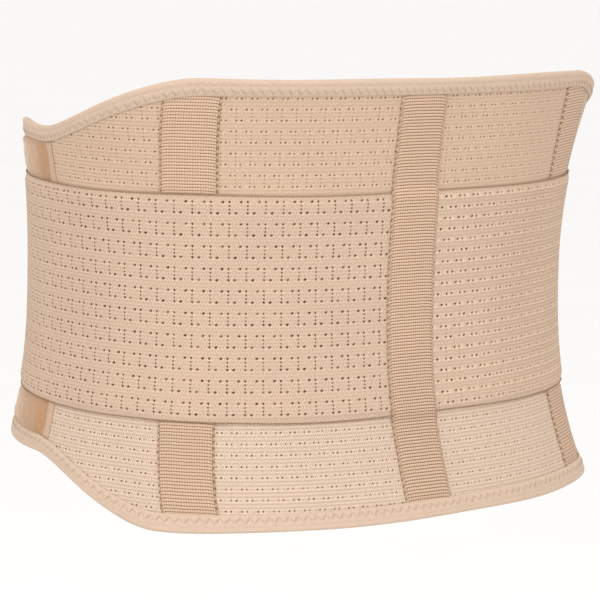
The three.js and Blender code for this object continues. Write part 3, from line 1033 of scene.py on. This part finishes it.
def make_channel(name, middle, half, base, drift, pressed, contrast, dark_rim):
    across = half * CHANNEL_COLUMNS
    s = middle + across
    low, high = edges(s, EDGE_INSET)
    ribs = np.arange(math.floor(low.min() / RIB_PITCH) - 2, math.ceil(high.max() / RIB_PITCH) + 4)
    rows = np.add.outer(ribs, RIB_ROWS).ravel() * RIB_PITCH
    low, high = low[:, None], high[:, None]
    across = across[:, None]
    from_side = half - np.abs(across)
    bow = RIB_BOW * ((np.abs(across) / half) ** 6 + 1 - smoothstep(from_side, 0, SELVEDGE + 0.4))
    z = np.clip(rows[None, :] - bow, low, high)
    z[:, [0]], z[:, [-1]] = low, high
    woven = 0.45 + 0.55 * smoothstep(from_side, SELVEDGE - 0.6, SELVEDGE + 0.6)
    rib = 1 - woven * (1 - np.abs(np.sin(math.pi * (z + bow) / RIB_PITCH)) ** 0.8)
    sewn = groove_at(from_side, SELVEDGE, 0.35)
    thickness = CHANNEL_EDGE_THICKNESS + CHANNEL_CROWN * (1 - (across / half) ** 2)
    thickness = thickness + RIB_HEIGHT * (rib - 1) - 0.2 * sewn - rounded(from_side, 0.7)
    from_end = np.minimum(z - low, high - z)
    flattened = 0.25 + 0.75 * smoothstep(from_end, BINDING_LEG - EDGE_INSET + 0.3, BINDING_LEG + 1)
    flattened = flattened * (1 - pressed * plateau(z, STRAP_HEM, STRAP_TOP, 3))
    outer = base(z) + flattened * thickness
    # Painted shade between the ribs and in the sewn groove, as strong as the channel's contrast
    relief = 1 - contrast * (1 - np.clip(rib * (1 - 0.45 * sewn), 0, 1))
    rim = 0.4 + 0.3 * np.cos(2 * math.pi * z / STITCH_PITCH)
    relief = np.where(from_side < dark_rim, rim, relief)
    piece = cloth(
        name + "_webbing", s, z, outer, lambda at, height: base(height), webbing, relief, 16,
        channel_place(middle, drift),
    )
    return dress(piece, "webbing", name)


channels = [make_channel(**channel) for channel in CHANNELS]


# The plush fronts

PLUSH_STEP = 1.5
NAP = 0.09
PILE = 1.9
LAPPED_FROM = (-345, -330)
nap_draws = np.random.default_rng(11)


def pile_height(s, z):
    """Height of the pile: full where it is free, lower under a strap or tab, none under tape or the other
    front. Also how free its nap is."""
    pressed = plateau(z, STRAP_HEM, STRAP_TOP, 5) * (1 - smoothstep(np.abs(s), TAB_END, TAB_END + 5))
    from_edge = np.minimum(np.minimum(top_height(s) - z, z - hem_height(s)), PANEL_END - np.abs(s))
    clear = smoothstep(from_edge, BINDING_LEG + 0.1, BINDING_LEG + 2) * smoothstep(s, *LAPPED_FROM)
    return clear * on_plush(s) * (PILE + (PLUSH_LIFT - PILE) * pressed), clear * (1 - pressed)


def make_front(name, start, end, lift):
    columns = int(round((end - start) / PLUSH_STEP))
    s = np.linspace(start, end, columns + 1)
    rows = np.arange(HEM_AT_BACK - HEM_TILT, TOP_AT_BACK, PLUSH_STEP)
    z = cut_rows(rows, *edges(s, EDGE_INSET))
    nap = nap_draws.normal(0, NAP, z.shape)
    nap = (nap + np.roll(nap, 1, axis=0) + np.roll(nap, 1, axis=1)) / 1.7
    pile, free = pile_height(s[:, None], z)
    outer = lift(s)[:, None] + PANEL_THICKNESS - 0.1 + pile + np.clip(nap, -0.3, 0.2) * free
    piece = cloth(name + "_plush", s, z, outer, lambda at, height: lift(at), plush)
    return dress(piece, "plush", name)


front_left = make_front("front_panel_left", -PANEL_END + EDGE_INSET, -SEAM - GAP / 2, lambda s: 0 * s)
front_right = make_front("front_panel_right", SEAM + GAP / 2, PANEL_END - EDGE_INSET, lap_lift)


# The seam tapes

SEAM_COLUMNS = mirrored([0.1, 0.3, 0.5, 0.7, 0.9, 1])
SEAM_ROWS = np.linspace(0, 1, 120)


def make_seam_tape(name, side):
    across = SEAM_TAPE_WIDTH / 2 * SEAM_COLUMNS
    s = side * SEAM + across
    z = between(*edges(s, BINDING_LEG + GAP), SEAM_ROWS)
    from_side = (SEAM_TAPE_WIDTH / 2 - np.abs(across))[:, None]
    sewn = groove_at(from_side, 1.1, 0.4) * (0.7 + 0.3 * np.cos(2 * math.pi * z / STITCH_PITCH))
    outer = SEWN_ON + SEAM_TAPE_THICKNESS - 0.1 * sewn - 0.4 * rounded(from_side, 1.1)
    # Painted shade along the sunk stitch lines
    piece = cloth(name + "_tape", s, z, outer, lambda at, height: on_panel(height), seam_tape, 1 - 0.5 * sewn)
    return dress(piece, "tape", name)


make_seam_tape("seam_tape_left", -1)
make_seam_tape("seam_tape_right", 1)


# The tabs at the straps' ends, and the fastening pad between the lapped fronts

TAB_COLUMNS = np.array([0, 0.02, 0.1, 0.25, 0.4, 0.55, 0.7, 0.76, 0.82, 0.88, 0.93, 0.97, 0.99, 0.997])
TAB_ROWS = np.concatenate([[0, 0.004, 0.012, 0.03], np.linspace(0.05, 0.95, 30), [0.97, 0.988, 0.996, 1]])


def tab_base(s):
    on_strap = 1 - smoothstep(np.abs(s), STRAP_END, STRAP_END + RAMP)
    return ON_PANEL + PLUSH_LIFT + STRAP_LIFT * on_strap


def make_tab(name, side):
    s = np.sort(side * (TAB_FROM + (TAB_END - TAB_FROM) * TAB_COLUMNS))
    into_corner = np.clip(np.abs(s) - (TAB_END - TAB_CORNER), 0, None)
    inset = TAB_INSET + TAB_CORNER - np.sqrt(TAB_CORNER**2 - into_corner**2)
    low = STRAP_HEM + inset
    high = STRAP_TOP - inset
    z = between(low, high, TAB_ROWS)
    from_edge = np.minimum(z - low[:, None], high[:, None] - z)
    from_end = np.minimum(np.abs(s) - TAB_FROM, TAB_END - np.abs(s))[:, None]
    edge = np.minimum(from_edge, from_end + 0.1)
    outer = tab_base(s)[:, None] + TAB_THICKNESS - rounded(edge, 0.8) - 0.25 * groove_at(edge, 2.2, 0.6)
    piece = cloth(name + "_hook", s, z, outer, lambda at, height: tab_base(at), hooks, inner_rows=6)
    return dress(piece, "hook", name)


tab_left = make_tab("strap_tab_left", -1)
tab_right = make_tab("strap_tab_right", 1)

CLOSURE_INSET = 2 * BINDING_LEG + 4
CLOSURE_THICKNESS = LAP_LIFT - PANEL_THICKNESS - 2 * GAP
closure_s = np.linspace(HALF_GIRTH - CLOSURE_HALF_WIDTH, HALF_GIRTH + CLOSURE_HALF_WIDTH, 40)
closure_z = between(*edges(closure_s, CLOSURE_INSET), np.linspace(0, 1, 60))
closure = cloth(
    "front_closure_hook", closure_s, closure_z, np.full(closure_z.shape, ON_PANEL + CLOSURE_THICKNESS),
    lambda s, z: ON_PANEL + 0 * s, hooks,
)
dress(closure, "hook", "front_closure")


# The bindings: tape folded over the edges and held by a zigzag, of which every other stitch is tighter

BINDING_STEP = ZIGZAG_PITCH / 5
BINDING_OUTER = ON_PANEL + TAPE_THICKNESS
BINDING_INNER = -LAYER_GAP - TAPE_THICKNESS
FOLD_GROOVE = 2.9
PUFF_FROM = 3.0
WOBBLE_DEPTH = 5.0


def zigzag_depth(along):
    return ZIGZAG_NEAR + ZIGZAG_SLOPE * np.abs(fold(along, 0.0, ZIGZAG_PITCH))


def make_binding(name, along, edge_place, outer_w, inner_w, is_turned):
    """A folded tape. Each ring runs from the outer leg's end over the edge to the inner leg's end, and back
    inside. edge_place(along, depth, w) lays it, and is_turned says that the rings run the other way."""
    turn = np.linspace(0, math.pi, 9)
    legs = np.linspace(BINDING_LEG, EDGE_INSET, 13)[:-1]
    back_legs = np.linspace(EDGE_INSET, BINDING_LEG, 5)[1:]
    depth = np.concatenate([legs, EDGE_INSET * (1 - np.sin(turn)), back_legs])
    turned = np.concatenate([np.ones(len(legs)), np.cos(turn), -np.ones(len(back_legs))])
    is_leg = np.arange(len(depth)) < len(legs)
    middle = ((outer_w + inner_w) / 2)[:, None]
    radius = ((outer_w - inner_w) / 2)[:, None]

    groove = groove_at(depth, FOLD_GROOVE, 0.35) * is_leg
    tight = np.where(fold(along, 0.0, ZIGZAG_PITCH) > 0, 1.0, 0.3)[:, None]
    pits = tight * groove_at(depth[None, :], zigzag_depth(along)[:, None], 0.7) * is_leg
    puffed = np.sin(math.pi * np.clip((depth - PUFF_FROM) / (BINDING_LEG - PUFF_FROM), 0, 1)) * is_leg
    tucked = rounded(np.clip(BINDING_LEG - depth, 0, None), 1.1) * np.sign(turned)
    out_w = middle + radius * turned + 0.28 * puffed - 0.10 * groove - 0.18 * pits - 0.5 * tucked
    in_w = middle + (radius - TAPE_THICKNESS) * turned
    in_depth = depth + TAPE_THICKNESS * np.sqrt(1 - turned**2)

    all_w = np.concatenate([out_w, in_w[:, ::-1]], axis=1)
    all_depth = np.broadcast_to(np.concatenate([depth, in_depth[::-1]]), all_w.shape)
    at = np.broadcast_to(along[:, None], all_w.shape)
    outside = np.broadcast_to(np.concatenate([turned, np.full(len(turned), -2.0)]), all_w.shape)
    flat = np.stack([at, all_depth, outside], axis=-1)
    # Painted shade in the fold's groove and the zigzag's needle pits
    relief = np.concatenate([1 - 0.12 * pits - 0.15 * groove, np.ones_like(in_w)], axis=1)
    rings = edge_place(at, all_depth, all_w)
    order = -1 if is_turned else 1
    rings, flat, relief = [part[::-1, ::order] for part in (rings, flat, relief)]
    return dress(sweep(name + "_tape", rings, tape, flat, relief), "tape", name)


def binding_lift(s):
    """The bindings climb over the channels' ends, which lie flat and nearer to the centre back there."""
    side = plateau(np.abs(s), SIDE_CHANNEL - 15, SIDE_CHANNEL + 10, 4)
    center = plateau(s, -HALF_CENTER_CHANNEL, HALF_CENTER_CHANNEL + 1, 4)
    return CHANNEL_END_LIFT * np.maximum(side, center)


def make_edge_binding(name, edge_height, sign):
    steps = math.floor(PANEL_END / BINDING_STEP)
    along = np.arange(-steps, steps + 1) * BINDING_STEP

    def place(s, depth, w):
        wobble = 0.25 * np.sin(s / 15) + 0.2 * np.sin(s / 27 + 2)
        at_edge = np.clip(1 - depth / WOBBLE_DEPTH, 0, None)
        return lay(s, edge_height(s) - sign * (depth + wobble * at_edge), w)

    outer_w = BINDING_OUTER + lap_lift(along) + binding_lift(along)
    inner_w = BINDING_INNER + lap_lift(along)
    # The tape is pressed shut past the panel's ends
    shut = smoothstep(np.abs(along), PANEL_END - EDGE_INSET + 0.1, PANEL_END - 0.4)
    spare = shut * ((outer_w - inner_w) / 2 - TAPE_THICKNESS - SEWN_GAP)
    return make_binding(name, along, place, outer_w - spare, inner_w + spare, sign < 0)


def make_end_binding(name, sign):
    end = sign * PANEL_END
    along = np.arange(*edges(end, BINDING_LEG + GAP), BINDING_STEP)
    lift = np.full(len(along), lap_lift(end))

    def place(z, depth, w):
        return lay(sign * (PANEL_END - depth), z, w)

    return make_binding(name, along, place, BINDING_OUTER + lift, BINDING_INNER + lift, sign > 0)


binding_top = make_edge_binding("binding_top", top_height, 1)
binding_bottom = make_edge_binding("binding_bottom", hem_height, -1)
end_left = make_end_binding("binding_end_left", -1)
end_right = make_end_binding("binding_end_right", 1)


# Sewing

ALONG_STITCH = np.linspace(0, 1, 4)
STITCH_START = 0.15
CHANNEL_SINK = 0.32
SEAM_SINK = 0.1
SEAM_ROW = 1.4


def zigzag_runs(edge_height, sign, is_outer):
    """The zigzag that holds a binding, as one length of thread for each slanting stitch."""
    count = math.floor((2 * PANEL_END - 6) / ZIGZAG_PITCH)
    first = -(count // 2)
    runs = []
    for step in range(2 * first, 2 * (first + count)):
        s = (step + ALONG_STITCH) * ZIGZAG_PITCH / 2
        w = BINDING_INNER - ZIGZAG_DIP
        if is_outer:
            w = BINDING_OUTER + 0.2 + binding_lift(s) + ZIGZAG_DIP
        runs.append(lay(s, edge_height(s) - sign * zigzag_depth(s), w + lap_lift(s)))
    return runs


def upright_stitches(s, low, high, base, lift, place_on=lay):
    """Running stitches up the belt at s, this much above the layer at base(z), laid as the cloth there is."""
    runs = []
    for stitch in range(int((high - low) / STITCH_PITCH)):
        z = low + (stitch + STITCH_START) * STITCH_PITCH + STITCH_LENGTH * ALONG_STITCH
        runs.append(place_on(np.full_like(z, s), z, base(z) + lift + STITCH_DIP))
    return runs


binding_runs = []
for is_outer in (True, False):
    binding_runs += zigzag_runs(top_height, 1, is_outer) + zigzag_runs(hem_height, -1, is_outer)
dress(thread_runs("binding_stitches", binding_runs, pale_thread, ZIGZAG_THREAD), "tape")

channel_runs = []
for channel in CHANNELS:
    half = channel["half"]
    crown = CHANNEL_CROWN * (1 - ((half - SELVEDGE) / half) ** 2)
    lift = CHANNEL_EDGE_THICKNESS + crown - CHANNEL_SINK
    place = channel_place(channel["middle"], channel["drift"])
    for side in (-1, 1):
        at = channel["middle"] + side * (half - SELVEDGE)
        low, high = edges(at, BINDING_LEG + 3.5)
        lengths = ((low, STRAP_HEM - 3), (STRAP_TOP + 3, high)) if channel["pressed"] else ((low, high),)
        for start, end in lengths:
            channel_runs += upright_stitches(at, start, end, channel["base"], lift, place)
dress(thread_runs("channel_stitches", channel_runs, brown_thread, CHANNEL_THREAD), "webbing")

# Picot loops along the straps' edges, as the knitting machine leaves them; their brown colour is painted
# shade along the edges
LOOP_PITCH = 1.35
LOOP_POINTS = 6
loop_runs = []
for side in (-1, 1):
    steps = np.arange(HALF_CENTER_CHANNEL + 0.5, STRAP_END - 0.5, LOOP_PITCH / LOOP_POINTS)
    s = side * steps
    turn = 2 * math.pi * steps / LOOP_PITCH
    for edge in (strap_low(s), strap_high(s)):
        loop_runs.append(lay(s, edge + 0.3 * np.cos(turn), strap_base(s) + 0.35 + 0.25 * np.sin(turn)))
dress(thread_runs("strap_edge_loops", loop_runs, brown_thread, EDGE_YARN, 4), "strap_elastic")

seam_runs = []
for side in (-1, 1):
    for offset in (-SEAM_ROW, SEAM_ROW):
        at = side * SEAM + offset
        low, high = edges(at, BINDING_LEG + 1)
        seam_runs += upright_stitches(at, low, high, on_panel, SEAM_TAPE_THICKNESS - SEAM_SINK)
dress(thread_runs("seam_stitches", seam_runs, pale_thread, SEAM_THREAD), "tape")


# Cloth sizes, as cut, in metres

for pieces, flat, held in (
    ((strap_left, strap_right), (0.1055, 0.25), "stretched"),
    ((front_left, front_right), (0.155, 0.232), "stretched"),
    (channels, (0.026, 0.205), "laid"),
    ((tab_left, tab_right), (0.05, 0.1035), "laid"),
    ((closure,), (0.05, 0.1045), "laid"),
    ((binding_top, binding_bottom), (0.021, 0.83), "folded"),
    ((end_left, end_right), (0.021, 0.128), "folded"),
):
    for piece in pieces:
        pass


# Studio

FLOOR_HEIGHT = -0.95
FLOOR_HALF = 60.0
floor_signs = ((-1, -1), (1, -1), (1, 1), (-1, 1))
floor_corners = [(x * FLOOR_HALF, y * FLOOR_HALF, FLOOR_HEIGHT) for x, y in floor_signs]
floor_mesh = bpy.data.meshes.new("studio_floor")
floor_mesh.from_pydata(floor_corners, [], [(0, 1, 2, 3)])
floor_mesh.materials.append(studio_paper())
put("studio_floor", floor_mesh)

scene = bpy.context.scene
scene.view_settings.view_transform = "Standard"
world = bpy.data.worlds.new("studio")
world.use_nodes = True
scene.world = world
backdrop = next(node for node in world.node_tree.nodes if node.type == "BACKGROUND")
backdrop.inputs["Color"].default_value = linear("#fffdfb")
backdrop.inputs["Strength"].default_value = 1.0

# The camera, as fitted to the photograph: behind the belt, to its left and a little above
CAMERA_TURN = math.radians(30.93)
CAMERA_AWAY = 1.2747
CAMERA_HEIGHT = 0.1816
CAMERA_PITCH = math.radians(9.0)
CAMERA_ROLL = math.radians(1.06)
CAMERA_LENS = 152.7

camera_data = bpy.data.cameras.new("photo_camera")
camera_data.lens = CAMERA_LENS
camera_data.sensor_width = 36.0
camera_data.clip_end = 200.0
scene.camera = put("photo_camera", camera_data)
heading = Matrix.Rotation(math.pi - CAMERA_TURN, 4, "Z")
tilt = Matrix.Rotation(math.pi / 2 - CAMERA_PITCH, 4, "X")
place = Matrix.Translation((
    math.sin(CAMERA_TURN) * CAMERA_AWAY, math.cos(CAMERA_TURN) * CAMERA_AWAY, CAMERA_HEIGHT,
))
scene.camera.matrix_world = place @ heading @ tilt @ Matrix.Rotation(CAMERA_ROLL, 4, "Z")

# Soft lamps: turn from the camera's side, height, distance, size and power
LAMPS = (
    {"name": "key", "turn": -6, "up": 50, "away": 2.0, "size": 2.4, "power": 30},
    {"name": "fill", "turn": 35, "up": 15, "away": 2.4, "size": 2.0, "power": 8},
)
for lamp in LAMPS:
    data = bpy.data.lights.new(lamp["name"], "AREA")
    data.shape = "DISK"
    data.size = lamp["size"]
    data.energy = lamp["power"]
    light = put(lamp["name"], data)
    turn = CAMERA_TURN + math.radians(lamp["turn"])
    height = math.radians(lamp["up"])
    level = math.cos(height)
    aim = Vector((math.sin(turn) * level, math.cos(turn) * level, math.sin(height)))
    light.location = aim * lamp["away"]
    light.rotation_euler = aim.to_track_quat("Z", "Y").to_euler()
